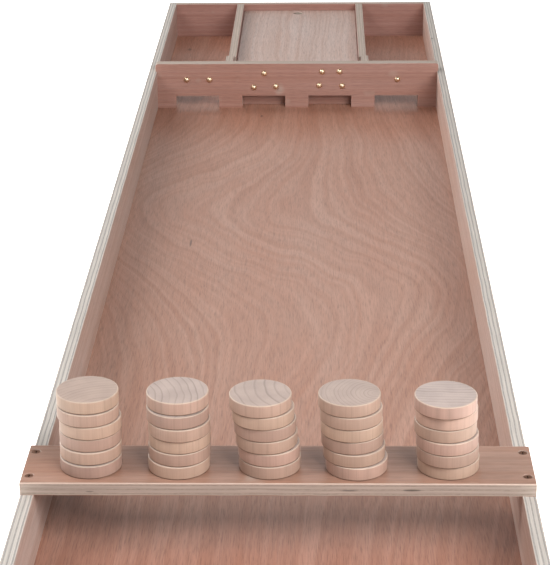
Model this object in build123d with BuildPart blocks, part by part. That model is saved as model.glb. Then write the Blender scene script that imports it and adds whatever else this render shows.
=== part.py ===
"""Wooden shuffleboard table: a plywood lane with a gate board, a lidded store, a bridge and thirty discs.

The table lies along Y, with the gates at the +Y end. Z is up and the origin is on the surface that the
table stands on, below the middle of the lane.
"""

import os
from math import atan2, degrees

from build123d import *

os.makedirs("parts", exist_ok=True)

# ---- Driving dimensions, in millimetres ----
table_length = 2000.0
table_width = 412.0
board = 11.0  # plywood of the rails, end walls, dividers and bridge
rail_height = 69.0
lane_depth = 52.0  # from the rails' top edge down to the playing surface
base_thickness = 5.0
base_tongue = 4.0  # how far the base panel goes into the rails and end walls
edge_round = 0.6

gate_front = 609.0  # front face of the gate board
gate_board = 15.0
gate_rise = 11.0  # how far the gate board stands above the rails
gate_ear = 2.0  # how far each end of the gate board goes into its rail
gate_clearance = 0.3
gate_corner = 4.0
gate_width = 60.0
gate_height = 17.0
gate_pitch = 92.5

stub_length = 58.0
stub_height = 54.0
stub_centre = 95.8
divider_front = 684.0
divider_centre = 93.0
centre_divider_rear = 950.0  # stops short of the back wall, to leave finger room under the lid

lid_thickness = 5.0
lid_top = 58.5
lid_gap = 0.5
apron_thickness = 6.0
finger_hole_radius = 7.5
finger_hole_place = (-2.5, 972.0)
cleat = 10.0

bridge_front = -597.0
bridge_depth = 65.0
bridge_screw_x = 200.0
bridge_screw_rows = (-584.0, -543.0)

batten_width = 45.0
batten_pitch = 520.0

disc_radius = 25.0
disc_thickness = 11.0
disc_round = 1.2
stack_y = -566.5

nail_radius = 4.3
nail_rise = 2.9
nail_shank_radius = 0.8
nail_shank = 11.0

screw_shank_radius = 1.9
screw_head_radius = 3.6
screw_tip = 2.5
cross_slot = 0.9
cross_length = 4.4
cross_depth = 1.1
screw_play = 0.1  # gap all round a screw in its hole

# ---- Sizes that follow ----
half_length = table_length / 2
half_width = table_width / 2
inner_half_width = half_width - board
inner_half_length = half_length - board
rail_centre = half_width - board / 2
playing_height = rail_height - lane_depth
base_bottom = playing_height - base_thickness
gate_rear = gate_front + gate_board
gate_top = rail_height + gate_rise
gate_centres = [(place - 1.5) * gate_pitch for place in range(4)]
store_half_width = divider_centre - board / 2
lid_half_width = store_half_width - lid_gap
lid_front = gate_rear + lid_gap
lid_rear = inner_half_length - lid_gap
lid_bottom = lid_top - lid_thickness
bridge_top = rail_height + board
bridge_rear = bridge_front + bridge_depth

# Nail places on the gate board, as steps from each gate's middle and heights above the table's foot. They
# were tapped in by hand, so no two groups are quite alike.
score_nails = {
    "score_nails_two": (0, [(-15.2, 57.3), (16.7, 57.3)]),
    "score_nails_three": (1, [(0.9, 66.1), (-13.8, 46.1), (16.9, 47.3)]),
    "score_nails_four": (2, [(-10.9, 68.3), (13.2, 68.4), (-15.0, 48.6), (17.1, 47.8)]),
    "score_nails_one": (3, [(1.3, 57.2)]),
}

# Each stack of discs: the middle of its lowest disc along X, then how far each disc up the stack has
# slipped from the middle line of the stack, across the table and along it.
disc_stacks = {
    "a": (-151.5, [(0, 0.5), (0, 2.5), (0, 4), (0.5, 3.5), (-1, 3.5), (-1, 5)]),
    "b": (-80.0, [(0, -0.5), (0.5, 0.5), (1, 1), (1, -0.5), (0, 0.5), (0, 3.5)]),
    "c": (-6.5, [(0, 0), (-0.5, 0.5), (-2.5, 0.5), (-3.5, 0.5), (-5, -0.5), (-7, -1)]),
    "d": (63.5, [(0, -1.5), (-2, -0.5), (-3.5, 0.5), (-4, 0), (-4.5, -0.5), (-6, 0)]),
    "e": (137.5, [(0, 0), (-1, -1.5), (-1.5, -1.5), (-3, -0.5), (-2.5, -0.5), (-3.5, -3)]),
}

# Frame screws: two at each corner of the frame, one at each batten end, two in each side divider.
corner_screw_heights = (30.0, 56.0)
corner_screw_y = half_length - board / 2
batten_rows = [(place - 1.5) * batten_pitch for place in range(4)]
batten_screw_height = base_bottom / 2
frame_screw_length = 30.0
bridge_screw_length = 30.0


def side_screw_places():
    """Y and Z of each screw that goes through a side rail."""
    corners = [(end * corner_screw_y, height) for end in (-1, 1) for height in corner_screw_heights]
    battens = [(row, batten_screw_height) for row in batten_rows]
    return corners + battens


def side_plane(side, y, z):
    """The plane at a screw's place on the outer face of a rail, looking out of the table."""
    return Plane(origin=(side * half_width, y, z), x_dir=(0, 1, 0), z_dir=(side, 0, 0))


def back_plane(x, z):
    """The plane at a screw's place on the outer face of the back wall, looking out of the table."""
    return Plane(origin=(x, half_length, z), x_dir=(-1, 0, 0), z_dir=(0, 1, 0))


def bridge_plane(side, y):
    """The plane at a screw's place on top of the bridge."""
    return Plane(origin=(side * bridge_screw_x, y, bridge_top), z_dir=(0, 0, 1))


frame_screw_planes = [side_plane(side, y, z) for side in (-1, 1) for y, z in side_screw_places()]
back_screw_planes = [back_plane(side * divider_centre, z) for side in (-1, 1) for z in corner_screw_heights]
bridge_screw_planes = [bridge_plane(side, y) for side in (-1, 1) for y in bridge_screw_rows]


def screw(plane, length):
    """One countersunk screw in the running part, its head just under the plane."""
    sunk = plane.offset(-0.5)
    neck = screw_head_radius - screw_shank_radius
    with BuildSketch(sunk) as head:
        Circle(screw_head_radius)
    extrude(head.sketch, amount=-neck, taper=45)
    with BuildSketch(sunk) as shank:
        Circle(screw_shank_radius)
    extrude(shank.sketch, amount=-(length - screw_tip))
    with BuildSketch(sunk.offset(-(length - screw_tip))) as point:
        Circle(screw_shank_radius)
    extrude(point.sketch, amount=-screw_tip, taper=35)
    with BuildSketch(sunk) as cross:
        Rectangle(cross_length, cross_slot)
        Rectangle(cross_slot, cross_length)
    extrude(cross.sketch, amount=-cross_depth, mode=Mode.SUBTRACT)


def pilot_hole(plane, length):
    """The plain hole for a screw's shank, cut from the running part."""
    with BuildSketch(plane) as bore:
        Circle(screw_shank_radius + screw_play)
    extrude(bore.sketch, amount=-(length + 1), mode=Mode.SUBTRACT)


def screw_hole(plane, length):
    """The countersunk hole for a screw, cut from the running part."""
    pilot_hole(plane, length)
    sunk_radius = screw_head_radius + 0.5 + screw_play
    with BuildSketch(plane) as mouth:
        Circle(sunk_radius)
    extrude(mouth.sketch, amount=screw_shank_radius - sunk_radius, taper=45, mode=Mode.SUBTRACT)


def upright_board(thickness_x, length_y, height_z, centre_x, centre_y, foot_z):
    """A board standing on edge, added to the running part."""
    with BuildSketch(Plane((centre_x, centre_y, foot_z))) as foot:
        Rectangle(thickness_x, length_y)
    extrude(foot.sketch, amount=height_z)


# ---- Side rails: grooved for the base panel and for the gate board's ends ----
for side, name in ((-1, "left_side_rail"), (1, "right_side_rail")):
    with BuildPart() as rail:
        upright_board(board, table_length, rail_height, side * rail_centre, 0, 0)
        fillet(rail.edges().filter_by(Axis.Y), edge_round)
        groove_width = 2 * base_tongue
        with BuildSketch(Plane((side * inner_half_width, 0, base_bottom))):
            Rectangle(groove_width, 2 * (inner_half_length + base_tongue))
        extrude(amount=base_thickness, mode=Mode.SUBTRACT)
        slot_middle = gate_front + gate_board / 2
        with BuildSketch(Plane((side * inner_half_width, slot_middle, playing_height))):
            Rectangle(2 * (gate_ear + gate_clearance), gate_board + 2 * gate_clearance)
        extrude(amount=lane_depth, mode=Mode.SUBTRACT)
        for y, z in side_screw_places():
            screw_hole(side_plane(side, y, z), frame_screw_length)
        for y in bridge_screw_rows:
            pilot_hole(bridge_plane(side, y), bridge_screw_length)
    rail.part.label = name
    export_step(rail.part, f"parts/{name}.step")

# ---- End walls, between the rails ----
for end, name in ((-1, "front_wall"), (1, "back_wall")):
    with BuildPart() as wall:
        upright_board(2 * inner_half_width, board, rail_height, 0, end * corner_screw_y, 0)
        fillet(wall.edges().filter_by(Axis.X), edge_round)
        with BuildSketch(Plane((0, end * inner_half_length, base_bottom))):
            Rectangle(2 * inner_half_width, 2 * base_tongue)
        extrude(amount=base_thickness, mode=Mode.SUBTRACT)
        for side in (-1, 1):
            for height in corner_screw_heights:
                pilot_hole(side_plane(side, end * corner_screw_y, height), frame_screw_length)
        if name == "back_wall":
            for plane in back_screw_planes:
                screw_hole(plane, frame_screw_length)
    wall.part.label = name
    export_step(wall.part, f"parts/{name}.step")

# ---- Base panel: the playing surface, let into the frame all round ----
with BuildPart() as base_panel:
    with BuildSketch(Plane.XY.offset(base_bottom)):
        Rectangle(2 * (inner_half_width + base_tongue), 2 * (inner_half_length + base_tongue))
    extrude(amount=base_thickness)
base_panel.part.label = "base_panel"
export_step(base_panel.part, "parts/base_panel.step")

# ---- Battens across the underside ----
for place, row in enumerate(batten_rows, start=1):
    name = f"base_batten_{place}"
    with BuildPart() as batten:
        with BuildSketch(Plane((0, row, 0))):
            Rectangle(2 * inner_half_width, batten_width)
        extrude(amount=base_bottom)
        fillet(batten.edges().filter_by(Axis.X).group_by(Axis.Z)[0], edge_round)
        for side in (-1, 1):
            pilot_hole(side_plane(side, row, batten_screw_height), frame_screw_length)
    batten.part.label = name
    export_step(batten.part, f"parts/{name}.step")

# ---- Gate board: four gates open at the foot, nail holes above them ----
with BuildPart() as gate_plate:
    with BuildSketch(Plane((0, gate_rear, 0), x_dir=(1, 0, 0), z_dir=(0, -1, 0))):
        with Locations((0, (playing_height + gate_top) / 2)):
            Rectangle(2 * (inner_half_width + gate_ear), gate_top - playing_height)
        gate_middle = playing_height + gate_height / 2
        with Locations([(centre, gate_middle) for centre in gate_centres]):
            Rectangle(gate_width, gate_height, mode=Mode.SUBTRACT)
    extrude(amount=gate_board)
    fillet(gate_plate.edges().filter_by(Axis.Y).group_by(Axis.Z)[-1], gate_corner)
    fillet(gate_plate.faces().sort_by(Axis.Z)[-1].edges().filter_by(Axis.X), edge_round)
    for gate, places in score_nails.values():
        for step, height in places:
            spot = Plane((gate_centres[gate] + step, gate_front, height), x_dir=(1, 0, 0), z_dir=(0, -1, 0))
            with BuildSketch(spot):
                Circle(nail_shank_radius + screw_play)
            extrude(amount=-(nail_shank + 0.5), mode=Mode.SUBTRACT)
gate_plate.part.label = "gate_plate"
export_step(gate_plate.part, "parts/gate_plate.step")

# ---- Score nails: brass domed heads that mark each gate with its score ----
dome_radius = (nail_radius**2 + nail_rise**2) / (2 * nail_rise)
dome_centre = dome_radius - nail_rise
dome_sweep = 90 - degrees(atan2(dome_centre, nail_radius))
for name, (gate, places) in score_nails.items():
    with BuildPart() as nails:
        for step, height in places:
            middle = (gate_centres[gate] + step, gate_front, height)
            with BuildSketch(Plane(middle, x_dir=(1, 0, 0), z_dir=(0, 0, 1))):
                with BuildLine():
                    Polyline(
                        (0, -nail_rise),
                        (0, nail_shank),
                        (nail_shank_radius, nail_shank),
                        (nail_shank_radius, 0),
                        (nail_radius, 0),
                    )
                    CenterArc((0, dome_centre), dome_radius, -90, dome_sweep)
                make_face()
            revolve(axis=Axis(middle, (0, 1, 0)))
    nails.part.label = name
    export_step(nails.part, f"parts/{name}.step")

# ---- Gate stubs: short boards glued behind the gate board, in line with the dividers ----
for side, name in ((-1, "left_gate_stub"), (1, "right_gate_stub")):
    with BuildPart() as stub:
        stub_middle = gate_rear + stub_length / 2
        upright_board(board, stub_length, stub_height, side * stub_centre, stub_middle, playing_height)
        fillet(stub.edges().group_by(Axis.Z)[-1].filter_by(Axis.Y), edge_round)
    stub.part.label = name
    export_step(stub.part, f"parts/{name}.step")

# ---- Dividers between the score compartments ----
divider_length = inner_half_length - divider_front
divider_middle = divider_front + divider_length / 2
for side, name in ((-1, "left_divider"), (1, "right_divider")):
    with BuildPart() as divider:
        upright_board(board, divider_length, lane_depth, side * divider_centre, divider_middle, playing_height)
        fillet(divider.edges().group_by(Axis.Z)[-1].filter_by(Axis.Y), edge_round)
        for height in corner_screw_heights:
            pilot_hole(back_plane(side * divider_centre, height), frame_screw_length)
    divider.part.label = name
    export_step(divider.part, f"parts/{name}.step")

centre_divider_front = lid_front + apron_thickness + 1
centre_divider_length = centre_divider_rear - centre_divider_front
centre_divider_middle = centre_divider_front + centre_divider_length / 2
with BuildPart() as centre_divider:
    upright_board(
        board, centre_divider_length, lid_bottom - playing_height, 0, centre_divider_middle, playing_height
    )
centre_divider.part.label = "centre_divider"
export_step(centre_divider.part, "parts/centre_divider.step")

# ---- Cleats that carry the lid of the store ----
for side, name in ((-1, "left_lid_cleat"), (1, "right_lid_cleat")):
    with BuildPart() as cleat_strip:
        cleat_centre = side * (store_half_width - cleat / 2)
        upright_board(cleat, divider_length, cleat, cleat_centre, divider_middle, lid_bottom - cleat)
    cleat_strip.part.label = name
    export_step(cleat_strip.part, f"parts/{name}.step")

# ---- Lid of the store, with a finger hole, and the apron under its front edge ----
lid_length = lid_rear - lid_front
with BuildPart() as store_lid:
    with BuildSketch(Plane((0, lid_front + lid_length / 2, lid_bottom))):
        Rectangle(2 * lid_half_width, lid_length)
    extrude(amount=lid_thickness)
    with BuildSketch(Plane((*finger_hole_place, lid_bottom))):
        Circle(finger_hole_radius)
    extrude(amount=lid_thickness, mode=Mode.SUBTRACT)
    fillet(store_lid.faces().sort_by(Axis.Z)[-1].edges(), edge_round)
store_lid.part.label = "store_lid"
export_step(store_lid.part, "parts/store_lid.step")

with BuildPart() as lid_apron:
    upright_board(
        2 * lid_half_width,
        apron_thickness,
        lid_bottom - playing_height - gate_clearance,
        0,
        lid_front + apron_thickness / 2,
        playing_height + gate_clearance,
    )
lid_apron.part.label = "lid_apron"
export_step(lid_apron.part, "parts/lid_apron.step")

# ---- Bridge: the plank that marks the throwing line, screwed across the rails ----
with BuildPart() as bridge_plank:
    with BuildSketch(Plane((0, bridge_front + bridge_depth / 2, rail_height))):
        Rectangle(table_width, bridge_depth)
    extrude(amount=board)
    fillet(bridge_plank.faces().sort_by(Axis.Z)[-1].edges(), edge_round)
    for plane in bridge_screw_planes:
        screw_hole(plane, bridge_screw_length)
bridge_plank.part.label = "bridge_plank"
export_step(bridge_plank.part, "parts/bridge_plank.step")

# ---- Screws ----
with BuildPart() as bridge_screws:
    for plane in bridge_screw_planes:
        screw(plane, bridge_screw_length)
bridge_screws.part.label = "bridge_screws"
export_step(bridge_screws.part, "parts/bridge_screws.step")

with BuildPart() as frame_screws:
    for plane in frame_screw_planes + back_screw_planes:
        screw(plane, frame_screw_length)
frame_screws.part.label = "frame_screws"
export_step(frame_screws.part, "parts/frame_screws.step")

# ---- Discs, in stacks on the bridge ----
for stack, (stack_x, slips) in disc_stacks.items():
    for level, (slip_x, slip_y) in enumerate(slips, start=1):
        name = f"disc_{stack}{level}"
        foot = bridge_top + (level - 1) * disc_thickness
        with BuildPart() as disc:
            with BuildSketch(Plane((stack_x + slip_x, stack_y + slip_y, foot))):
                Circle(disc_radius)
            extrude(amount=disc_thickness)
            fillet(disc.edges(), disc_round)
        disc.part.label = name
        export_step(disc.part, f"parts/{name}.step")
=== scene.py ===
"""Finishes a plywood shuffleboard table.

The boards get their veneers and plies, the discs are turned in beech, the nails and screws get
their metals, and a plain studio stage is set up round them. Patterns, marks and grain are in
millimetres, and meshes, lights and the camera are in metres.
"""

import math

import bmesh
import bpy
from bpy.props import FloatProperty, FloatVectorProperty, IntProperty, PointerProperty
from bpy.types import Operator, Panel, PropertyGroup
from mathutils import Matrix, Vector


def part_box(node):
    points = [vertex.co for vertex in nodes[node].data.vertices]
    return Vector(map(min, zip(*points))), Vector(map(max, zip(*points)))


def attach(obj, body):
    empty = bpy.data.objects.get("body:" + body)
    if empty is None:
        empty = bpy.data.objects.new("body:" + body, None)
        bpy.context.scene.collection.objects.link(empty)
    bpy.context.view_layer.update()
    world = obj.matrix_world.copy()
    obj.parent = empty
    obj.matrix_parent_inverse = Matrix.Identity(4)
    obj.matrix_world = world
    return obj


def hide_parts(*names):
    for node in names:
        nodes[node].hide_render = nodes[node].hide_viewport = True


bl_info = {
    "name": "Shuffleboard Table",
    "version": (1, 0, 0),
    "blender": (4, 5, 0),
    "location": "3D View > Sidebar > Shuffleboard",
    "description": "Wood, brass and steel finishes for a long shuffleboard table, with its stage",
    "category": "Object",
}

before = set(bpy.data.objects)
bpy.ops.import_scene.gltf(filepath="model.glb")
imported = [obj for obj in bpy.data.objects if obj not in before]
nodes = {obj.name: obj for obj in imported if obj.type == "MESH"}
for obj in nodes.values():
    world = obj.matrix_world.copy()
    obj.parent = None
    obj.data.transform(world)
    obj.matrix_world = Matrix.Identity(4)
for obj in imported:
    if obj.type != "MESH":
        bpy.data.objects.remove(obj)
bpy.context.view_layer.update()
MM = 0.001


def linear(code):
    """The linear colour of an sRGB hex value, as red, green and blue."""
    channels = [int(code[place : place + 2], 16) / 255 for place in (1, 3, 5)]
    return tuple(c / 12.92 if c <= 0.04045 else ((c + 0.055) / 1.055) ** 2.4 for c in channels)


def colour(name, description, code):
    """A colour property whose default is an sRGB hex value."""
    return FloatVectorProperty(
        name=name,
        description=description,
        default=linear(code),
        subtype="COLOR",
        size=3,
        min=0,
        max=1,
    )


def power(name, description, watts):
    """The power of a soft box."""
    return FloatProperty(name=name, description=description, default=watts, min=0, unit="POWER")


# ---- Sizes and colours that a user would change ----


class BoardFinish(PropertyGroup):
    """Colours and gloss of the plywood boards."""

    rail: colour("Rail veneer", "Okoume veneer on the rails, a pale sheet", "#B9A79F")
    wall: colour("Wall veneer", "Okoume veneer on the end walls and dividers", "#9B776E")
    gate: colour("Gate veneer", "Okoume veneer on the gate board", "#9D7B71")
    bridge: colour("Bridge veneer", "Okoume veneer on the bridge plank", "#9B7D6E")
    floor: colour("Playing surface", "Okoume veneer of the playing surface", "#9E7B6B")
    lid: colour("Lid veneer", "Paler, greyer veneer of the store's lid", "#AF9B93")
    # The rails' core colours are paler and greyer as painted light on their lit tops. The other
    # boards' core colours are darker and warmer as painted shade and a painted warm reflection.
    rail_long_ply_painted_light: colour("Rail's long ply", "Core ply of the rails, seen along its grain", "#BFB7AF")
    rail_cross_ply_painted_light: colour("Rail's cross ply", "Core ply of the rails, seen across its grain", "#9B9590")
    board_long_ply_painted_shade: colour("Board's long ply", "Other boards' core, along its grain", "#B1A094")
    board_cross_ply_painted_shade: colour("Board's cross ply", "Other boards' core, across its grain", "#A29387")
    # The arris colour is partly bare sanded wood and partly a painted highlight along the lit upper
    # edge.
    arris: colour("Arris", "Bare pale wood along a sanded edge", "#C9B2A4")
    softwood: colour("Softwood", "Planed battens under the base", "#C9AC83")
    lacquer_roughness: FloatProperty(
        name="Lacquer roughness",
        description="Roughness of the thin matt lacquer",
        default=0.42,
        min=0,
        max=1,
        subtype="FACTOR",
    )


class DiscFinish(PropertyGroup):
    """Shape and colours of the turned discs."""

    rim: FloatProperty(
        name="Rim radius",
        description="Rounding of both edges of a disc",
        default=0.9 * MM,
        min=0,
        unit="LENGTH",
    )
    steps: IntProperty(name="Steps", description="Steps round a disc", default=96, min=24, max=256)
    end_grain: colour("End grain", "Sanded flats of the discs, where the rings show", "#A99992")
    side_grain: colour("Side grain", "Turned rim of a pink disc", "#AE8F81")
    tan_grain: colour("Tan side grain", "Turned rim of a yellower disc", "#B29784")
    # The upper arris colour is a painted highlight: it is drawn palest where light catches the
    # rounded rim.
    arris: colour("Disc arris", "Burnished upper arris, the palest part", "#B9A393")
    ring: FloatProperty(
        name="Ring spacing",
        description="Width of one year's growth",
        default=5.5 * MM,
        min=0.5 * MM,
        unit="LENGTH",
    )


class MetalFinish(PropertyGroup):
    """Colours of the nails and screws."""

    brass: colour("Brass", "Polished brass of the score nails", "#EACFAF")
    steel: colour("Screw steel", "Yellow-passivated steel of the screws", "#8F6B59")


class TableStage(PropertyGroup):
    """Camera, light and floor."""

    camera_place: FloatVectorProperty(
        name="Camera place",
        description="Where the camera stands",
        default=(0.03613, -1.9081, 0.7998),
        subtype="TRANSLATION",
        unit="LENGTH",
    )
    heading: FloatProperty(
        name="Heading",
        description="Turn to the left of the table's length",
        default=math.radians(1.58),
        unit="ROTATION",
    )
    dip: FloatProperty(
        name="Dip",
        description="Tilt below the horizon",
        default=math.radians(22.62),
        unit="ROTATION",
    )
    roll: FloatProperty(
        name="Roll",
        description="Lean of the camera about its own line of sight",
        default=math.radians(-0.61),
        unit="ROTATION",
    )
    lens: FloatProperty(
        name="Lens",
        description="Focal length in mm on a 36 mm sensor",
        default=119.2,
        min=1,
    )
    sky: FloatProperty(name="Sky", description="Strength of the dim ceiling", default=0.03, min=0)
    key_light: power("Key light", "In front on the right", 46.5)
    fill_light: power("Fill light", "High on the left", 27.0)
    side_light: power("Side light", "Low behind on the left", 32.5)
    right_light: power("Right light", "On the right", 11.7)
    rear_light: power("Rear light", "High behind", 3.5)
    back_light: power("Back light", "Low behind, for the sheen", 2.9)
    floor: colour("Floor", "Pale floor", "#F4F3F1")


# ---- Nodes ----


def find(sockets, name):
    """A socket by its number, or the one in use with that name."""
    if isinstance(name, int):
        return sockets[name]
    return next(s for s in sockets if s.name == name and s.enabled)


def add_node(tree, kind, settings=None, links=None, output=0):
    """Adds a node, sets its properties and plain inputs, links the others, and gives an output."""
    node = tree.nodes.new(kind)
    for name, value in (settings or {}).items():
        if name == "stops":
            ramp = node.color_ramp
            for place, _ in value[1:-1]:
                ramp.elements.new(place)
            for element, (place, shade) in zip(ramp.elements, value):
                element.position = place
                element.color = (*shade, 1)
        elif isinstance(name, str) and hasattr(node, name):
            setattr(node, name, value)
        else:
            find(node.inputs, name).default_value = value
    for name, source in (links or {}).items():
        tree.links.new(source, find(node.inputs, name))
    if output == 0:
        return next((s for s in node.outputs if s.enabled), None)
    return find(node.outputs, output)


def new_material(name):
    """An empty node material."""
    material = bpy.data.materials.new(name)
    material.use_nodes = True
    material.node_tree.nodes.clear()
    return material


def close_material(material, settings, links):
    """Ends a material in its shader, and gives the material."""
    tree = material.node_tree
    shader = add_node(tree, "ShaderNodeBsdfPrincipled", settings, links)
    add_node(tree, "ShaderNodeOutputMaterial", {}, {"Surface": shader})
    return material


# How a board lies, as the axes that run across its grain, along its grain and through it.
ALONG_SIDES = (2, 1, 0)
ACROSS_TABLE = (2, 0, 1)
FLAT_LENGTHWAYS = (0, 1, 2)
FLAT_CROSSWAYS = (1, 0, 2)


def board_coordinates(tree, axes, face):
    """Object position in mm: across the grain, along it, and up from the board's low face."""
    place = add_node(tree, "ShaderNodeTexCoord", {}, {}, "Object")
    to_mm = {"operation": "SCALE", "Scale": 1 / MM}
    place = add_node(tree, "ShaderNodeVectorMath", to_mm, {0: place})
    apart = add_node(tree, "ShaderNodeSeparateXYZ", {}, {0: place}, "X").node
    order = {i: apart.outputs[axis] for i, axis in enumerate(axes)}
    turned = add_node(tree, "ShaderNodeCombineXYZ", {}, order)
    from_face = {"operation": "SUBTRACT", 1: (0.0, 0.0, face)}
    return add_node(tree, "ShaderNodeVectorMath", from_face, {0: turned})


def pattern(tree, coordinates, size, place, detail=2.0):
    """Noise with cells of that size in mm, read at a place of its own so that boards differ."""
    settings = {"operation": "MULTIPLY_ADD", 1: tuple(1 / s for s in size), 2: place}
    moved = add_node(tree, "ShaderNodeVectorMath", settings, {0: coordinates})
    settings = {"Scale": 1.0, "Detail": detail, "Roughness": 0.55}
    return add_node(tree, "ShaderNodeTexNoise", settings, {"Vector": moved}, "Fac")


def spread(tree, source, low, high, start, end):
    """Maps a value from one range to another, held at the ends."""
    settings = {"From Min": low, "From Max": high, "To Min": start, "To Max": end}
    return add_node(tree, "ShaderNodeMapRange", settings, {"Value": source})


def product(tree, *sources):
    """The product of several values."""
    made = sources[0]
    for source in sources[1:]:
        made = add_node(tree, "ShaderNodeMath", {"operation": "MULTIPLY"}, {0: made, 1: source})
    return made


def shaded(tree, shade, factor):
    """A colour, or a socket that gives one, made lighter or darker by a value."""
    settings, links = {"operation": "SCALE"}, {"Scale": factor}
    if isinstance(shade, bpy.types.NodeSocket):
        links[0] = shade
    else:
        settings[0] = tuple(shade)
    return add_node(tree, "ShaderNodeVectorMath", settings, links)


def mixed(tree, factor, first, second):
    """A mix of two colours, each a colour or a socket."""
    settings, links = {"data_type": "RGBA"}, {"Factor": factor}
    for name, shade in (("A", first), ("B", second)):
        if isinstance(shade, bpy.types.NodeSocket):
            links[name] = shade
        else:
            settings[name] = (*shade, 1)
    return add_node(tree, "ShaderNodeMix", settings, links)


# ---- Wood ----

# The parts of okoume's figure in mm: across the grain, along it and through the board.
CLOUDS = (60.0, 200.0, 60.0)
GROWTH_BANDS = (4.8, 1200.0, 60.0)
STREAKS = (1.8, 500.0, 30.0)
FIBRE = (1.1, 40.0, 1.1)
# Real pores are about 0.2 mm wide and up to 3 mm long. They are drawn larger, so that they show.
PORES = (0.6, 15.0, 0.6)
# What the pink parts of the veneer keep of its red, green and blue.
PINK = (0.93, 0.77, 0.68)


def veneer_figure(tree, coordinates, lines, veneer, place, tone, pore):
    """Rotary-cut okoume: pink and tan clouds, soft growth bands and fine dark pores."""
    deep = tuple(channel * keep for channel, keep in zip(veneer, PINK))
    clouds = pattern(tree, coordinates, CLOUDS, place, 3.0)
    bands = pattern(tree, lines, GROWTH_BANDS, place, 1.0)
    streaks = pattern(tree, lines, STREAKS, place, 1.0)
    fibre = pattern(tree, coordinates, FIBRE, place, 2.0)
    pores = pattern(tree, coordinates, PORES, place, 2.0)
    in_bands = spread(tree, bands, 0.36, 0.64, 1.0, 0.0)
    in_clouds = spread(tree, clouds, 0.3, 0.7, 0.0, 0.55)
    sum_of_both = {"operation": "MULTIPLY_ADD", 1: 0.45}
    pink = add_node(tree, "ShaderNodeMath", sum_of_both, {0: in_bands, 2: in_clouds})
    shade = mixed(tree, pink, veneer, deep)
    parts = [
        spread(tree, bands, 0.36, 0.64, 1.03 * tone, 1.13 * tone),
        spread(tree, streaks, 0.35, 0.65, 0.97, 1.03),
        spread(tree, fibre, 0.35, 0.65, 0.94, 1.06),
        spread(tree, pores, 0.5, 0.68, 1.0 + 0.2 * (1 - pore), pore),
    ]
    return shaded(tree, shade, product(tree, *parts)), pores


# A ply's kind as a colour on the ramp: red for a face veneer and green for a cross ply.
PLY_KINDS = {"face": (1.0, 0.0, 0.0), "cross": (0.0, 1.0, 0.0), "long": (0.0, 0.0, 0.0)}
# How far the glue lines wander in mm, and how soft they are as a share of the thickness.
GLUE_WAVE = 0.35
SOFT_LINE = 0.01


def layered(tree, coordinates, plies, thickness):
    """How far a point is in a face veneer, and in a cross ply, with slightly wavy glue lines."""
    apart = add_node(tree, "ShaderNodeSeparateXYZ", {}, {0: coordinates}, "X").node
    wave = pattern(tree, coordinates, (30.0, 30.0, 30.0), (3.0, 5.0, 7.0), 1.0)
    wave = spread(tree, wave, 0.2, 0.8, -GLUE_WAVE, GLUE_WAVE)
    depth = add_node(tree, "ShaderNodeMath", {"operation": "ADD"}, {0: apart.outputs[2], 1: wave})
    share = add_node(tree, "ShaderNodeMath", {"operation": "DIVIDE", 1: thickness}, {0: depth})
    total = sum(width for _, width in plies)
    stops, low = [], 0.0
    for kind, width in plies:
        shade = PLY_KINDS[kind]
        high = low + width / total
        start = low + SOFT_LINE if low > 0 else low
        end = high - SOFT_LINE if high < 0.999 else high
        stops += [(start, shade), (end, shade)]
        low = high
    stops[0] = (0.0, stops[0][1])
    stops[-1] = (1.0, stops[-1][1])
    ramp = add_node(tree, "ShaderNodeValToRGB", {"stops": stops}, {"Fac": share}, "Color")
    kinds = add_node(tree, "ShaderNodeSeparateColor", {}, {0: ramp}, "Red").node
    return kinds.outputs[0], kinds.outputs[1]


def core_plies(inner):
    """Plies from face to face in mm. A face veneer's cut edge is as pale as the core under it."""
    widths = {"cross": 1.2, "long": 2.3}
    core = [(kind, widths[kind]) for kind in inner]
    return [("face", 0.3), ("long", 0.7), *core, ("long", 0.7), ("face", 0.3)]


# Each board's plies, and how thick it is in mm.
ELEVEN_MM = (core_plies(("cross", "long", "cross", "long", "cross")), 11.0)
FIFTEEN_MM = (core_plies(("cross", "long", "cross", "long", "cross", "long", "cross")), 15.0)
THIN_PLIES = [("face", 1.0), ("cross", 3.0), ("face", 1.0)]
FIVE_MM = (THIN_PLIES, 5.0)
SIX_MM = (THIN_PLIES, 6.0)
# How dark a pore is in a calm veneer, and in a wide sheet cut to show its figure.
CALM_PORE = 0.82
WIDE_PORE = 0.72
# Cut edges soak the lacquer up and stay rougher than the faces.
CUT_EDGE_ROUGHNESS = 0.75
WOOD_IOR = 1.5
NO_TINT = (1.0, 1.0, 1.0)


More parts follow.
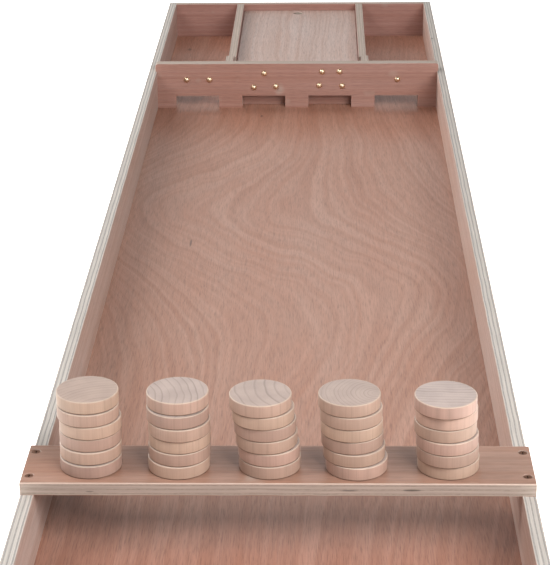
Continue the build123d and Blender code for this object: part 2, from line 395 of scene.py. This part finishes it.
def plywood(
    name, axes, face, build, place, veneer, tone=1.0, figure=None, arris=None, painted_light_fades=(), marks=()
):
    """Okoume plywood, sanded and matt lacquered: calm pink faces, pale and grey plies on edges."""
    finish = bpy.context.scene.board_finish
    plies, thickness = build
    material = new_material(name)
    tree = material.node_tree
    coordinates = board_coordinates(tree, axes, face)
    lines = figure(tree, coordinates) if figure else coordinates
    pore = WIDE_PORE if figure else CALM_PORE
    veneer_shade, pores = veneer_figure(tree, coordinates, lines, tuple(veneer), place, tone, pore)
    faces, cross = layered(tree, coordinates, plies, thickness)
    streaks = pattern(tree, coordinates, (0.9, 45.0, 0.7), place, 3.0)
    specks = pattern(tree, coordinates, (6.0, 3.0, 0.6), place, 3.0)
    bright = spread(tree, streaks, 0.3, 0.7, 0.82, 1.14)
    dim = spread(tree, specks, 0.3, 0.7, 0.8, 1.15)
    # Painted light: the rails take the paler core colours lit from above, and the other boards take
    # the darker, warmer core colours in shade.
    long_shade, cross_shade = finish.board_long_ply_painted_shade, finish.board_cross_ply_painted_shade
    if name.endswith("side_rail"):
        long_shade, cross_shade = finish.rail_long_ply_painted_light, finish.rail_cross_ply_painted_light
    core = mixed(tree, cross, tuple(long_shade), tuple(cross_shade))
    either = {"Factor": cross, "A": bright, "B": dim}
    core = shaded(tree, core, add_node(tree, "ShaderNodeMix", {"data_type": "FLOAT"}, either))
    shade = mixed(tree, faces, core, veneer_shade)
    if arris:
        shade = sanded_arris_and_highlight(tree, coordinates, shade, arris, thickness, tuple(finish.arris))
    # The fades are painted light: their tints stand for the shade, reflection and light that fall
    # along the board.
    for start, end, tint in painted_light_fades:
        along = add_node(tree, "ShaderNodeSeparateXYZ", {}, {0: coordinates}, "Y")
        painted_tints = mixed(tree, spread(tree, along, start, end, 0.0, 1.0), NO_TINT, tint)
        both = {0: shade, 1: painted_tints}
        shade = add_node(tree, "ShaderNodeVectorMath", {"operation": "MULTIPLY"}, both)
    for middle, size, dark in marks:
        mark = blot(tree, coordinates, middle, size)
        shade = shaded(tree, shade, spread(tree, mark, 0.0, 1.0, 1.0, dark))
    rough = spread(tree, faces, 0.0, 1.0, CUT_EDGE_ROUGHNESS, finish.lacquer_roughness)
    relief = {"Strength": 0.25, "Distance": 0.2 * MM, "invert": True}
    bump = add_node(tree, "ShaderNodeBump", relief, {"Height": pores})
    links = {"Base Color": shade, "Roughness": rough, "Normal": bump}
    return close_material(material, {"IOR": WOOD_IOR}, links)


def sanded_arris_and_highlight(tree, coordinates, shade, arris, thickness, pale):
    """The two upper long edges, pale where sandpaper has gone through the face veneer, a colour
    that is partly bare wood and partly a painted highlight.
    """
    apart = add_node(tree, "ShaderNodeSeparateXYZ", {}, {0: coordinates}, "X").node
    middle, half = (arris[0] + arris[1]) / 2, (arris[1] - arris[0]) / 2
    from_middle = {"operation": "SUBTRACT", 1: middle}
    away = add_node(tree, "ShaderNodeMath", from_middle, {0: apart.outputs[0]})
    away = add_node(tree, "ShaderNodeMath", {"operation": "ABSOLUTE"}, {0: away})
    # The pale strip, partly bare wood and partly painted highlight, reaches 0.7 mm in from the edge
    # and 1.1 mm down it, with soft ends.
    near = spread(tree, away, half - 0.9, half - 0.5, 0.0, 1.0)
    top = spread(tree, apart.outputs[2], thickness - 1.3, thickness - 0.9, 0.0, 1.0)
    return mixed(tree, product(tree, near, top), shade, pale)


def centred(tree, coordinates, middle, size):
    """Distance from a point, as a share of an ellipsoid's radii."""
    scale = tuple(1 / r for r in size)
    start = tuple(-m / r for m, r in zip(middle, size))
    settings = {"operation": "MULTIPLY_ADD", 1: scale, 2: start}
    return add_node(tree, "ShaderNodeVectorMath", settings, {0: coordinates})


def swell(tree, coordinates, middle, radii, height):
    """A smooth bell-shaped push of the growth lines round a point."""
    moved = centred(tree, coordinates, middle, radii)
    itself = {0: moved, 1: moved}
    square = add_node(tree, "ShaderNodeVectorMath", {"operation": "DOT_PRODUCT"}, itself, "Value")
    power = add_node(tree, "ShaderNodeMath", {"operation": "MULTIPLY", 1: -0.5}, {0: square})
    bell = add_node(tree, "ShaderNodeMath", {"operation": "EXPONENT"}, {0: power})
    return add_node(tree, "ShaderNodeMath", {"operation": "MULTIPLY", 1: height}, {0: bell})


# Where the growth lines of the wide sheet swell, how far and how strongly, all in mm.
LEFT_SWELL = ((-205.0, 185.0, 0.0), (130.0, 170.0, 1000.0), 150.0)
RIGHT_SWELL = ((195.0, -60.0, 0.0), (130.0, 260.0, 1000.0), -130.0)
# The lines' slow and quick wander: a wave's size, its place in the noise and its reach in mm.
WANDERS = (
    ((120.0, 300.0, 120.0), (1.0, 2.0, 3.0), 10.0),
    ((30.0, 70.0, 30.0), (4.0, 2.0, 3.0), 2.2),
)


def floor_lines(tree, coordinates):
    """The figure of a wide rotary-cut sheet: growth lines that fan out and leave by both edges."""
    left = swell(tree, coordinates, *LEFT_SWELL)
    right = swell(tree, coordinates, *RIGHT_SWELL)
    pushed = add_node(tree, "ShaderNodeMath", {"operation": "ADD"}, {0: left, 1: right})
    for size, place, reach in WANDERS:
        waves = spread(tree, pattern(tree, coordinates, size, place, 0.0), 0.2, 0.8, -reach, reach)
        pushed = add_node(tree, "ShaderNodeMath", {"operation": "ADD"}, {0: pushed, 1: waves})
    step = add_node(tree, "ShaderNodeCombineXYZ", {}, {"X": pushed})
    return add_node(tree, "ShaderNodeVectorMath", {"operation": "ADD"}, {0: coordinates, 1: step})


def blot(tree, coordinates, middle, size):
    """1 in the middle of a small round or long mark, falling to 0 at its edge."""
    moved = centred(tree, coordinates, middle, size)
    away = add_node(tree, "ShaderNodeVectorMath", {"operation": "LENGTH"}, {0: moved}, "Value")
    return spread(tree, away, 1.0, 0.5, 0.0, 1.0)


# The grain of a beech disc in mm: across the trunk twice, and along it.
RING_DRIFT = (24.0, 24.0, 200.0)
BEECH_CLOUDS = (16.0, 16.0, 60.0)
# Rays are 0.1 mm wide and are drawn wider, so that they show. They run from flat to flat.
BEECH_FIBRE = (0.8, 0.8, 40.0)
# How dark the late wood of a strong ring is.
LATE_WOOD = 0.66
BARE_BEECH_ROUGHNESS = 0.55


def turned_beech(name, shade, tan, ring_share, fibre_share):
    """Steamed beech, turned and left bare: grey rings on the flats, warm fibre round the rim."""
    material = new_material(name)
    tree = material.node_tree
    grain = add_node(tree, "ShaderNodeAttribute", {"attribute_name": "grain"}, {}, "Vector")
    look = add_node(tree, "ShaderNodeAttribute", {"attribute_name": "look"}, {}, "Vector")
    looks = add_node(tree, "ShaderNodeSeparateXYZ", {}, {0: look}, "X").node
    tone, ring, contrast = looks.outputs
    no_height = {"operation": "MULTIPLY", 1: (1.0, 1.0, 0.0)}
    flat = add_node(tree, "ShaderNodeVectorMath", no_height, {0: grain})
    radius = add_node(tree, "ShaderNodeVectorMath", {"operation": "LENGTH"}, {0: flat}, "Value")
    drift = pattern(tree, grain, RING_DRIFT, (0.0, 0.0, 0.0), 1.0)
    drift = spread(tree, drift, 0.2, 0.8, -1.3, 1.3)
    radius = add_node(tree, "ShaderNodeMath", {"operation": "ADD"}, {0: radius, 1: drift})
    years = add_node(tree, "ShaderNodeMath", {"operation": "DIVIDE"}, {0: radius, 1: ring})
    part = add_node(tree, "ShaderNodeMath", {"operation": "FRACT"}, {0: years})
    stops = [(0.0, (0.0,) * 3), (0.7, (0.12,) * 3), (0.88, (1.0,) * 3), (1.0, (0.0,) * 3)]
    late = add_node(tree, "ShaderNodeValToRGB", {"stops": stops}, {"Fac": part}, "Color")
    # Each year's late wood has its own strength.
    year = add_node(tree, "ShaderNodeCombineXYZ", {}, {"X": years})
    each = pattern(tree, year, (1.7, 1.0, 1.0), (0.0, 0.0, 0.0), 0.0)
    strength = spread(tree, each, 0.35, 0.65, 0.35 * ring_share, 1.2 * ring_share)
    late = product(tree, late, contrast, strength)
    fibre = pattern(tree, grain, BEECH_FIBRE, (5.0, 1.0, 2.0), 2.0)
    clouds = pattern(tree, grain, BEECH_CLOUDS, (2.0, 7.0, 1.0), 1.0)
    factor = product(
        tree,
        tone,
        spread(tree, fibre, 0.3, 0.7, 1 - fibre_share, 1 + fibre_share),
        spread(tree, clouds, 0.3, 0.7, 0.93, 1.07),
        spread(tree, late, 0.0, 1.0, 1.0, LATE_WOOD),
    )
    relief = {"Strength": 0.2, "Distance": 0.1 * MM}
    bump = add_node(tree, "ShaderNodeBump", relief, {"Height": fibre})
    tint = add_node(tree, "ShaderNodeAttribute", {"attribute_name": "tint"}, {}, "Fac")
    wood = shaded(tree, mixed(tree, tint, tuple(shade), tuple(tan)), factor)
    settings = {"Roughness": BARE_BEECH_ROUGHNESS, "IOR": WOOD_IOR}
    return close_material(material, settings, {"Base Color": wood, "Normal": bump})


def planed_softwood():
    """Planed spruce: straight yellow grain with darker lines about 3 mm apart."""
    finish = bpy.context.scene.board_finish
    material = new_material("planed_spruce")
    tree = material.node_tree
    coordinates = board_coordinates(tree, FLAT_CROSSWAYS, 0.0)
    lines = pattern(tree, coordinates, (3.0, 400.0, 3.0), (4.0, 2.0, 8.0), 2.0)
    fibre = pattern(tree, coordinates, (0.8, 30.0, 0.8), (1.0, 2.0, 3.0), 2.0)
    dark_lines = spread(tree, lines, 0.35, 0.65, 0.8, 1.08)
    factor = product(tree, dark_lines, spread(tree, fibre, 0.25, 0.75, 0.93, 1.07))
    shade = shaded(tree, finish.softwood, factor)
    return close_material(material, {"Roughness": 0.65, "IOR": WOOD_IOR}, {"Base Color": shade})


# ---- Metal ----


def polished_brass():
    """Stamped and polished brass: bright domes with a few duller patches."""
    finish = bpy.context.scene.metal_finish
    material = new_material("polished_brass")
    tree = material.node_tree
    coordinates = board_coordinates(tree, (0, 1, 2), 0.0)
    dull = pattern(tree, coordinates, (2.0, 2.0, 2.0), (0.0, 0.0, 0.0), 2.0)
    rough = spread(tree, dull, 0.35, 0.75, 0.3, 0.45)
    shade = shaded(tree, finish.brass, spread(tree, dull, 0.3, 0.8, 1.0, 0.85))
    return close_material(material, {"Metallic": 1.0}, {"Base Color": shade, "Roughness": rough})


def passivated_steel():
    """Steel screws with a yellow zinc finish, with painted shade in the slots and a little wear on
    the heads.
    """
    finish = bpy.context.scene.metal_finish
    material = new_material("yellow_passivated_steel")
    tree = material.node_tree
    coordinates = board_coordinates(tree, (0, 1, 2), 0.0)
    wear = pattern(tree, coordinates, (1.2, 1.2, 1.2), (0.0, 0.0, 0.0), 3.0)
    height = add_node(tree, "ShaderNodeSeparateXYZ", {}, {0: coordinates}, "Z")
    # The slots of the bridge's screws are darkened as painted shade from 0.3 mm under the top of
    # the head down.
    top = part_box("bridge_screws")[1].z / MM
    painted_slot_shade = spread(tree, height, top - 0.9, top - 0.3, 0.15, 1.0)
    shade = shaded(tree, finish.steel, product(tree, painted_slot_shade, spread(tree, wear, 0.3, 0.7, 0.7, 1.3)))
    rough = spread(tree, wear, 0.3, 0.7, 0.45, 0.6)
    return close_material(material, {"Metallic": 0.85}, {"Base Color": shade, "Roughness": rough})


def paint(names, material):
    """Gives CAD nodes a material."""
    for name in names:
        nodes[name].material_slots[0].material = material


def edge(name, axis):
    """The low side of a node along one axis, in mm."""
    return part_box(name)[0][axis] / MM


def board(name, axes, build, place, veneer, **extras):
    """Gives one board's node its own plywood."""
    face = edge(name, axes[2])
    paint([name], plywood(f"okoume_plywood_{name}", axes, face, build, place, veneer, **extras))


# ---- One operator for each group of pieces ----


class SHUFFLEBOARD_OT_frame_boards(Operator):
    """Finish the rails, end walls and battens"""

    bl_idname = "shuffleboard.frame_boards"
    bl_label = "Frame boards"

    def execute(self, context):
        finish = context.scene.board_finish
        # A mark is its middle and its radii in mm, in the board's own directions, and its tone.
        knot = [((69.0, 780.0, 2.5), (4.0, 5.0, 2.0), 0.55)]
        rail = (ALONG_SIDES, ELEVEN_MM)
        board("left_side_rail", *rail, (1.0, 4.0, 0.0), finish.rail, tone=0.93)
        board("right_side_rail", *rail, (8.0, 2.0, 5.0), finish.rail, tone=1.06, marks=knot)
        board("back_wall", ACROSS_TABLE, ELEVEN_MM, (3.0, 9.0, 2.0), finish.wall)
        board("front_wall", ACROSS_TABLE, ELEVEN_MM, (6.0, 1.0, 2.0), finish.wall)
        paint([name for name in nodes if name.startswith("base_batten")], planed_softwood())
        return {"FINISHED"}


class SHUFFLEBOARD_OT_playing_surface(Operator):
    """Finish the playing surface"""

    bl_idname = "shuffleboard.playing_surface"
    bl_label = "Playing surface"

    def execute(self, context):
        finish = context.scene.board_finish
        # Painted shade and a painted reflection of the gate board make the far end of the lane
        # darker and redder. Painted shade and reflection make the floor under and before the bridge
        # redder. Painted light makes the floor paler behind the gates. A fade starts and ends at
        # these places along the board, and multiplies the colour past its end.
        painted_light_fades = [
            (400.0, 600.0, (0.95, 0.86, 0.82)),
            (-540.0, -620.0, (0.98, 0.88, 0.87)),
            (600.0, 630.0, (1.2, 1.2, 1.2)),
        ]
        # A long scratch and two small dark flaws.
        marks = [
            ((-115.0, 88.0, 5.0), (1.6, 15.0, 3.0), 0.45),
            ((-48.0, 568.0, 5.0), (2.5, 7.0, 3.0), 0.5),
            ((-170.0, 911.0, 5.0), (4.0, 8.0, 3.0), 0.5),
        ]
        looks = {"figure": floor_lines, "painted_light_fades": painted_light_fades, "marks": marks}
        board("base_panel", FLAT_LENGTHWAYS, FIVE_MM, (2.0, 3.0, 0.0), finish.floor, **looks)
        return {"FINISHED"}


class SHUFFLEBOARD_OT_gate_board(Operator):
    """Finish the gate board and the short boards behind it"""

    bl_idname = "shuffleboard.gate_board"
    bl_label = "Gate board"

    def execute(self, context):
        finish = context.scene.board_finish
        board("gate_plate", ACROSS_TABLE, FIFTEEN_MM, (5.0, 5.0, 1.0), finish.gate)
        board("left_gate_stub", ALONG_SIDES, ELEVEN_MM, (2.0, 6.0, 1.0), finish.wall)
        board("right_gate_stub", ALONG_SIDES, ELEVEN_MM, (7.0, 3.0, 1.0), finish.wall)
        return {"FINISHED"}


class SHUFFLEBOARD_OT_store(Operator):
    """Finish the dividers, lid and cleats of the disc store"""

    bl_idname = "shuffleboard.store"
    bl_label = "Disc store"

    def execute(self, context):
        finish = context.scene.board_finish
        board("left_divider", ALONG_SIDES, ELEVEN_MM, (4.0, 1.0, 3.0), finish.wall)
        board("right_divider", ALONG_SIDES, ELEVEN_MM, (9.0, 8.0, 3.0), finish.wall)
        board("centre_divider", ALONG_SIDES, ELEVEN_MM, (1.0, 7.0, 3.0), finish.wall)
        place = (4.0, 4.0, 0.0)
        board("store_lid", FLAT_LENGTHWAYS, FIVE_MM, place, finish.lid, figure=floor_lines)
        board("lid_apron", ACROSS_TABLE, SIX_MM, (3.0, 3.0, 0.0), finish.gate)
        softwood = bpy.data.materials.get("planed_spruce") or planed_softwood()
        paint(["left_lid_cleat", "right_lid_cleat"], softwood)
        return {"FINISHED"}


class SHUFFLEBOARD_OT_bridge(Operator):
    """Finish the bridge plank"""

    bl_idname = "shuffleboard.bridge"
    bl_label = "Bridge plank"

    def execute(self, context):
        finish = context.scene.board_finish
        low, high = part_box("bridge_plank")
        front, rear = low.y / MM, high.y / MM
        # Two open gaps and a short one where the core plies do not quite meet, in the front edge,
        # darkened as painted shade inside them.
        painted_gap_shades = [
            ((front, 57.0, 4.8), (4.0, 8.0, 0.9), 0.55),
            ((front, 107.0, 5.2), (4.0, 9.0, 1.2), 0.45),
            ((front, -150.0, 3.4), (4.0, 4.0, 0.8), 0.6),
        ]
        looks = {"arris": (front, rear), "marks": painted_gap_shades}
        board("bridge_plank", FLAT_CROSSWAYS, ELEVEN_MM, (7.0, 7.0, 4.0), finish.bridge, **looks)
        return {"FINISHED"}


# How each disc at the top of its stack was cut: the way to its pith in degrees, the pith's distance
# in mm, the spacing of its rings in mm, its tone, how strong its rings are and how tan it is.
TOP_DISCS = {
    "disc_a6": (-65.0, 60.0, 4.2, 1.0, 0.6, 1.0),
    "disc_b6": (195.0, 68.0, 5.6, 1.06, 0.9, 0.3),
    "disc_c6": (17.0, 52.0, 8.0, 1.03, 0.9, 0.5),
    "disc_d6": (-5.0, 21.0, 3.4, 0.98, 0.75, 0.6),
    "disc_e6": (88.0, 150.0, 4.6, 1.08, 0.9, 0.0),
}
# How far apart up the trunk two discs were cut, in mm.
TRUNK_STEP = 53.0
# A face of a disc is flat, or on an arris, by how much of its normal is upright.
FLAT = 0.99
UPPER_ARRIS = 0.3
LOWER_ARRIS = -0.1


def disc_face(up):
    """Which of a disc's four finishes a face has: flat, rim, upper arris with a painted highlight,
    or lower arris with a painted shadow.
    """
    if abs(up) > FLAT:
        return 0
    if up > UPPER_ARRIS:
        return 2
    return 3 if up < LOWER_ARRIS else 1


class SHUFFLEBOARD_OT_discs(Operator):
    """Turn the thirty beech discs"""

    bl_idname = "shuffleboard.discs"
    bl_label = "Discs"

    def execute(self, context):
        finish = context.scene.disc_finish
        end, side, arris = finish.end_grain, finish.side_grain, finish.arris
        warm_end = (end[0] * 1.02, end[1] * 0.95, end[2] * 0.88)
        # The lower arris is drawn as the darkest part, a painted contact shadow in the seam between
        # stacked discs.
        painted_gap_shadow = (arris[0] * 0.4, arris[1] * 0.32, arris[2] * 0.26)
        finishes = [
            turned_beech("turned_beech_flats", end, warm_end, 1.0, 0.035),
            turned_beech("turned_beech_rims", side, finish.tan_grain, 0.5, 0.05),
            turned_beech("burnished_beech_arris", arris, arris, 0.3, 0.02),
            turned_beech("worn_beech_arris", painted_gap_shadow, painted_gap_shadow, 0.3, 0.02),
        ]
        names = [name for name in sorted(nodes) if name.startswith("disc_")]
        for count, name in enumerate(names):
            piece = self.turn(name, finish)
            self.cut_grain(piece, name, count, finish)
            for material in finishes:
                piece.data.materials.append(material)
            for face in piece.data.polygons:
                face.material_index = disc_face(face.normal.z)
            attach(piece, name)
            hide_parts(name)
        return {"FINISHED"}

    def turn(self, name, finish):
        """One disc: half its section spun round its axis, with both edges rounded."""
        low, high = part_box(name)
        middle = (low + high) / 2
        radius = (high.x - low.x) / 2
        shape = bmesh.new()
        corners = [(0, low.z), (radius, low.z), (radius, high.z), (0, high.z)]
        points = [shape.verts.new((middle.x + out, middle.y, up)) for out, up in corners]
        for pair in zip(points, points[1:]):
            shape.edges.new(pair)
        bmesh.ops.bevel(
            shape,
            geom=points[1:3],
            offset=finish.rim,
            offset_type="OFFSET",
            affect="VERTICES",
            segments=5,
            profile=0.5,
            material=-1,
            clamp_overlap=True,
        )
        bmesh.ops.spin(
            shape,
            geom=shape.verts[:] + shape.edges[:],
            cent=middle,
            axis=(0, 0, 1),
            angle=math.tau,
            steps=finish.steps,
            use_merge=True,
        )
        bmesh.ops.remove_doubles(shape, verts=shape.verts[:], dist=0.001 * MM)
        bmesh.ops.recalc_face_normals(shape, faces=shape.faces[:])
        mesh = bpy.data.meshes.new(name.replace("disc_", "beech_disc_"))
        for face in shape.faces:
            face.smooth = True
        shape.to_mesh(mesh)
        shape.free()
        piece = bpy.data.objects.new(mesh.name, mesh)
        bpy.context.scene.collection.objects.link(piece)
        return piece

    def cut_grain(self, piece, name, count, finish):
        """Each point's place in mm in the trunk the disc was cut from, and the disc's own look."""
        low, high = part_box(name)
        middle = (low + high) / 2
        points = piece.data.vertices
        # A plain disc's values step round their ranges with its number, so that neighbours differ.
        heading = (count * 137.5) % 360.0
        distance = 30.0 + (count * 37) % 61
        brightness = 0.92 + 0.045 * (count * 3 % 5)
        tan_share = (count * 0.618) % 1.0
        plain = (heading, distance, finish.ring / MM, brightness, 0.5, tan_share)
        way, away, ring, tone, contrast, tan = TOP_DISCS.get(name, plain)
        angle = math.radians(way)
        pith = Vector((math.cos(angle) * away, math.sin(angle) * away, 0))
        up_trunk = Vector((0, 0, TRUNK_STEP * count))
        places = [(point.co - middle) / MM - pith + up_trunk for point in points]
        for kind, key, values in (
            ("FLOAT_VECTOR", "grain", [number for place in places for number in place]),
            ("FLOAT_VECTOR", "look", [tone, ring, contrast] * len(points)),
            ("FLOAT", "tint", [tan] * len(points)),
        ):
            attribute = piece.data.attributes.new(key, kind, "POINT")
            attribute.data.foreach_set("vector" if kind == "FLOAT_VECTOR" else "value", values)


class SHUFFLEBOARD_OT_fixings(Operator):
    """Finish the brass score nails and the steel screws"""

    bl_idname = "shuffleboard.fixings"
    bl_label = "Nails and screws"

    def execute(self, context):
        paint([name for name in nodes if name.startswith("score_nails")], polished_brass())
        paint(["bridge_screws", "frame_screws"], passivated_steel())
        return {"FINISHED"}


# Each soft box's name, its angle in degrees to the right of the front, its angle above the floor,
# and its width in metres. Each stands BOX_DISTANCE metres from BOX_AIM and faces it.
SOFT_BOXES = (
    ("key_light", 32, 36, 1.3),
    ("fill_light", -68, 50, 1.0),
    ("side_light", -125, 25, 0.9),
    ("right_light", 60, 38, 0.9),
    ("rear_light", 180, 52, 0.8),
    ("back_light", 180, 25, 0.8),
)
BOX_DISTANCE = 2.4
BOX_AIM = (0.0, -0.1, 0.0)
FLOOR_REACH = 60.0
# The floor is this far below the table, so that the two don't share a plane.
FLOOR_GAP = 0.2 * MM


class SHUFFLEBOARD_OT_stage(Operator):
    """Set up the floor, light and camera"""

    bl_idname = "shuffleboard.stage"
    bl_label = "Stage"

    def execute(self, context):
        scene = context.scene
        stage = scene.table_stage
        scene.view_settings.view_transform = "Standard"
        self.floor(stage)
        self.surroundings(scene, stage)
        for name, heading, height, size in SOFT_BOXES:
            self.soft_box(scene, name, getattr(stage, name), heading, height, size)
        self.camera(scene, stage)
        return {"FINISHED"}

    def floor(self, stage):
        """A wide pale floor just below the table, glowing enough to come out white."""
        shape = bmesh.new()
        bmesh.ops.create_grid(shape, x_segments=1, y_segments=1, size=FLOOR_REACH)
        bmesh.ops.translate(shape, vec=(0, 0, -FLOOR_GAP), verts=shape.verts[:])
        mesh = bpy.data.meshes.new("studio_floor")
        shape.to_mesh(mesh)
        shape.free()
        floor = bpy.data.objects.new("studio_floor", mesh)
        bpy.context.scene.collection.objects.link(floor)
        material = new_material("painted_studio_floor")
        white = (*stage.floor, 1)
        glow = {"Emission Color": white, "Emission Strength": 1.0}
        settings = {"Base Color": white, "Roughness": 0.9, **glow}
        mesh.materials.append(close_material(material, settings, {}))

    def surroundings(self, scene, stage):
        """White walls low round the horizon, and a dim ceiling."""
        world = bpy.data.worlds.new("white_studio")
        scene.world = world
        world.use_nodes = True
        tree = world.node_tree
        tree.nodes.clear()
        way = add_node(tree, "ShaderNodeTexCoord", {}, {}, "Generated")
        height = add_node(tree, "ShaderNodeSeparateXYZ", {}, {0: way}, "Z")
        # The walls are white up to 8 degrees above the horizon, and fade out by 17 degrees.
        wall = spread(tree, height, 0.14, 0.3, 1.0, stage.sky)
        light = add_node(tree, "ShaderNodeBackground", {"Color": (1, 1, 1, 1)}, {"Strength": wall})
        add_node(tree, "ShaderNodeOutputWorld", {}, {"Surface": light})

    def soft_box(self, scene, name, watts, heading, height, size):
        """A square soft box that faces the table."""
        light = bpy.data.lights.new(name, "AREA")
        light.shape = "SQUARE"
        light.size = size
        light.energy = watts
        lamp = bpy.data.objects.new(name, light)
        scene.collection.objects.link(lamp)
        swing = Matrix.Rotation(math.radians(heading), 4, "Z")
        tip = Matrix.Rotation(math.radians(90 - height), 4, "X")
        away = Matrix.Translation((0.0, 0.0, BOX_DISTANCE))
        lamp.matrix_world = Matrix.Translation(BOX_AIM) @ swing @ tip @ away

    def camera(self, scene, stage):
        """The camera, seeing the table from its playing end."""
        lens = bpy.data.cameras.new("camera")
        lens.sensor_width = 36.0
        lens.lens = stage.lens
        lens.clip_start = 0.05
        lens.clip_end = 60.0
        camera = bpy.data.objects.new("camera", lens)
        scene.collection.objects.link(camera)
        swing = Matrix.Rotation(stage.heading, 4, "Z")
        tip = Matrix.Rotation(math.pi / 2 - stage.dip, 4, "X")
        lean = Matrix.Rotation(stage.roll, 4, "Z")
        camera.matrix_world = Matrix.Translation(stage.camera_place) @ swing @ tip @ lean
        scene.camera = camera


OPERATORS = (
    SHUFFLEBOARD_OT_frame_boards,
    SHUFFLEBOARD_OT_playing_surface,
    SHUFFLEBOARD_OT_gate_board,
    SHUFFLEBOARD_OT_store,
    SHUFFLEBOARD_OT_bridge,
    SHUFFLEBOARD_OT_discs,
    SHUFFLEBOARD_OT_fixings,
    SHUFFLEBOARD_OT_stage,
)


class VIEW3D_PT_shuffleboard(Panel):
    """Lists the table's pieces and its stage"""

    bl_label = "Shuffleboard Table"
    bl_space_type = "VIEW_3D"
    bl_region_type = "UI"
    bl_category = "Shuffleboard"

    def draw(self, context):
        for operator in OPERATORS:
            self.layout.operator(operator.bl_idname)


GROUPS = {
    "board_finish": BoardFinish,
    "disc_finish": DiscFinish,
    "metal_finish": MetalFinish,
    "table_stage": TableStage,
}


def register():
    for group in GROUPS.values():
        bpy.utils.register_class(group)
    for kind in (*OPERATORS, VIEW3D_PT_shuffleboard):
        bpy.utils.register_class(kind)
    for name, group in GROUPS.items():
        setattr(bpy.types.Scene, name, PointerProperty(type=group))


def unregister():
    for name in GROUPS:
        delattr(bpy.types.Scene, name)
    for kind in (VIEW3D_PT_shuffleboard, *reversed(OPERATORS)):
        bpy.utils.unregister_class(kind)
    for group in reversed(list(GROUPS.values())):
        bpy.utils.unregister_class(group)


def main():
    """Builds every piece and the stage."""
    register()
    bpy.ops.shuffleboard.frame_boards()
    bpy.ops.shuffleboard.playing_surface()
    bpy.ops.shuffleboard.gate_board()
    bpy.ops.shuffleboard.store()
    bpy.ops.shuffleboard.bridge()
    bpy.ops.shuffleboard.discs()
    bpy.ops.shuffleboard.fixings()
    bpy.ops.shuffleboard.stage()


if __name__ == "__main__":
    main()
